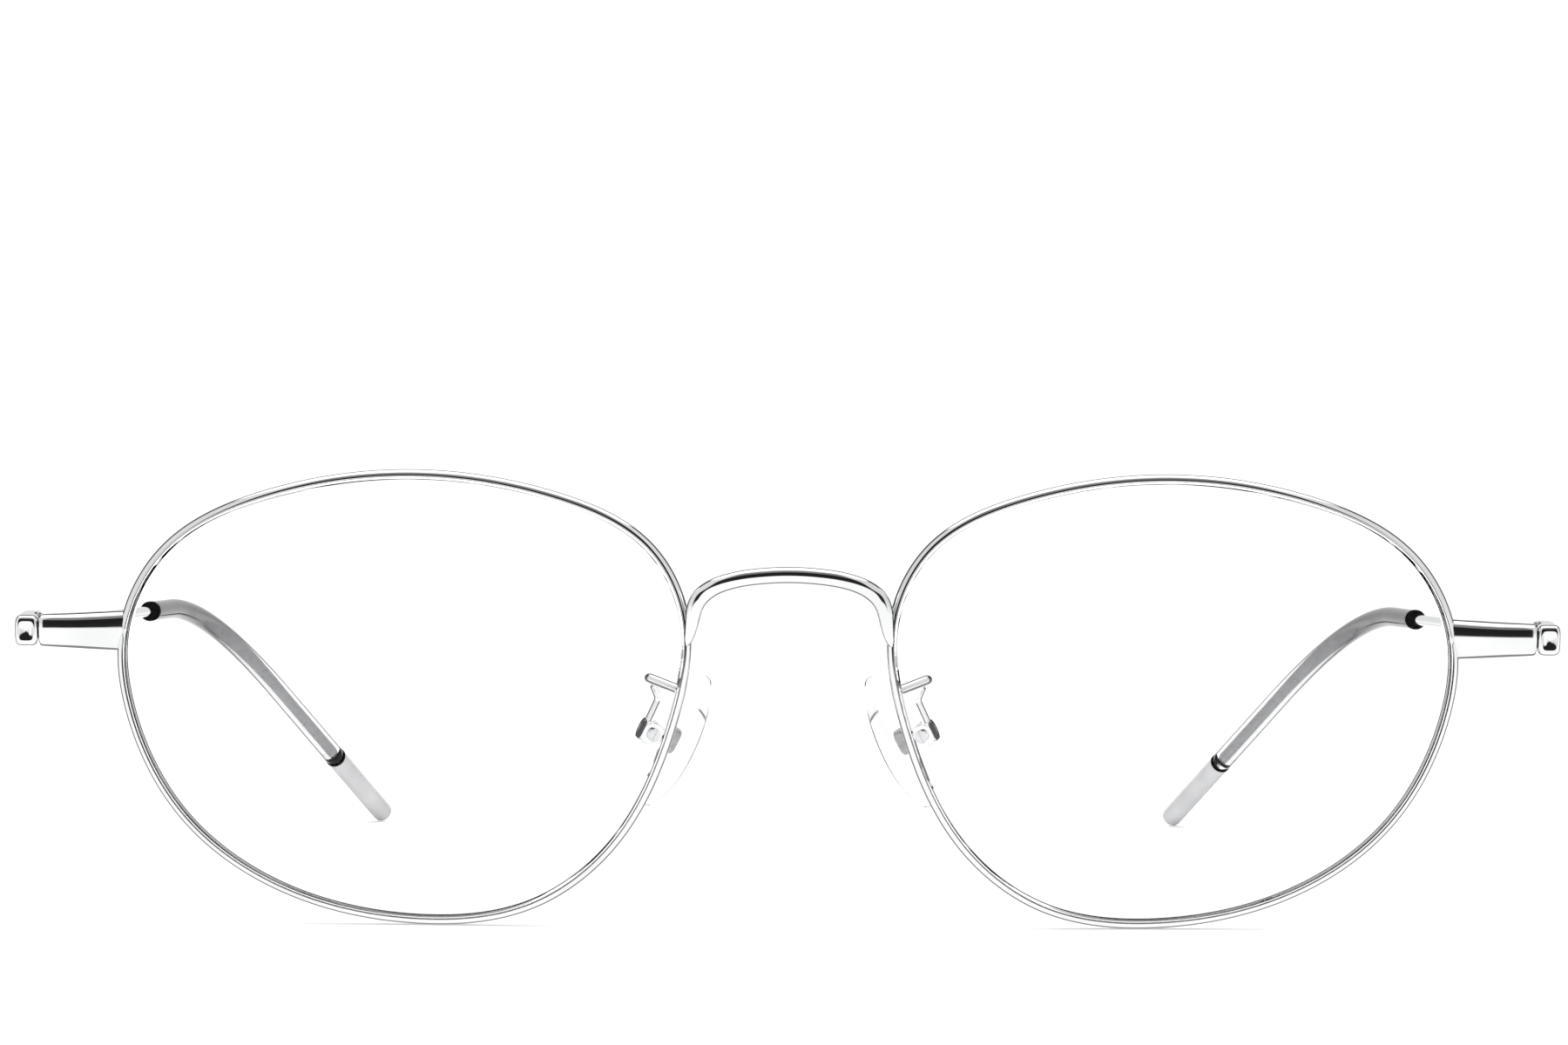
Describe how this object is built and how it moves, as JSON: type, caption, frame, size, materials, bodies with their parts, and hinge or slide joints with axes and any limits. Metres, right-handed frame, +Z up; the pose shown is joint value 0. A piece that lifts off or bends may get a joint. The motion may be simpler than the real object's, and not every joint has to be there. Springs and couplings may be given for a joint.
{
  "type": "wire eyeglasses",
  "caption": "Wire-rimmed eyeglasses with rounded oval clear lenses, an arched saddle bridge, clear nose pads on bent wire arms, and slim sleeved temples that fold on screw hinges.",
  "frame": {"origin": "the middle of the base, midway between the two sides and between the front of the rims and the temple tips, on the surface the glasses stand on", "axes": "+X from the wearer's right to their left, along the front; +Y back towards the temple tips; +Z up"},
  "size_m": [0.141, 0.1432, 0.0415],
  "materials": {
    "chrome": "polished silver wire, mirror bright",
    "screw_steel": "turned steel with a faint lathe grain",
    "pad_metal": "satin stamped insert seen through the pad",
    "clear_lens": "clear, polished, uncoated",
    "clear_silicone": "clear soft silicone with a slight haze",
    "clear_sleeve": "clear grey tube over the temple wire, glossy",
    "dark_band": "black ring, smooth",
    "frosted_tip": "pale frosted end cap, satin"
  },
  "bodies": {
    "front": {"bridge": "chrome", "rim_left": "chrome", "lens_left": "clear_lens", "closing_block_upper_left": "chrome", "closing_block_lower_left": "chrome", "rim_screw_left": "screw_steel", "endpiece_left": "chrome", "hinge_screw_left": "screw_steel", "pad_arm_left": "chrome", "pad_box_left": "chrome", "pad_screw_left": "screw_steel", "rim_right": "chrome", "lens_right": "clear_lens", "closing_block_upper_right": "chrome", "closing_block_lower_right": "chrome", "rim_screw_right": "screw_steel", "endpiece_right": "chrome", "hinge_screw_right": "screw_steel", "pad_arm_right": "chrome", "pad_box_right": "chrome", "pad_screw_right": "screw_steel"},
    "temple_left": {"temple_left": "chrome", "temple_sleeve_left": "clear_sleeve", "sleeve_collar_left": "dark_band", "joint_ring_left": "dark_band", "tip_cap_left": "frosted_tip"},
    "temple_right": {"temple_right": "chrome", "temple_sleeve_right": "clear_sleeve", "sleeve_collar_right": "dark_band", "joint_ring_right": "dark_band", "tip_cap_right": "frosted_tip"},
    "nose_pad_left": {"nose_pad_left": "clear_silicone", "pad_core_left": "pad_metal"},
    "nose_pad_right": {"nose_pad_right": "clear_silicone", "pad_core_right": "pad_metal"}
  },
  "joints": [
    {"name": "temple_fold_left", "type": "hinge", "parent": "front", "child": "temple_left", "pos_m": [-0.0679, -0.06325, 0.02667], "axis": [0, 0.1045, -0.9945], "range_deg": [0, 79]},
    {"name": "temple_fold_right", "type": "hinge", "parent": "front", "child": "temple_right", "pos_m": [0.0679, -0.06325, 0.02667], "axis": [0, -0.1045, 0.9945], "range_deg": [0, 73]},
    {"name": "pad_rock_left", "type": "hinge", "parent": "front", "child": "nose_pad_left", "pos_m": [-0.01272, -0.05945, 0.01753], "axis": [-0.3474, 0.8995, 0.2649], "range_deg": [-10, 10]},
    {"name": "pad_rock_right", "type": "hinge", "parent": "front", "child": "nose_pad_right", "pos_m": [0.01272, -0.05945, 0.01753], "axis": [0.3474, 0.8995, 0.2649], "range_deg": [-10, 10]}
  ]
}
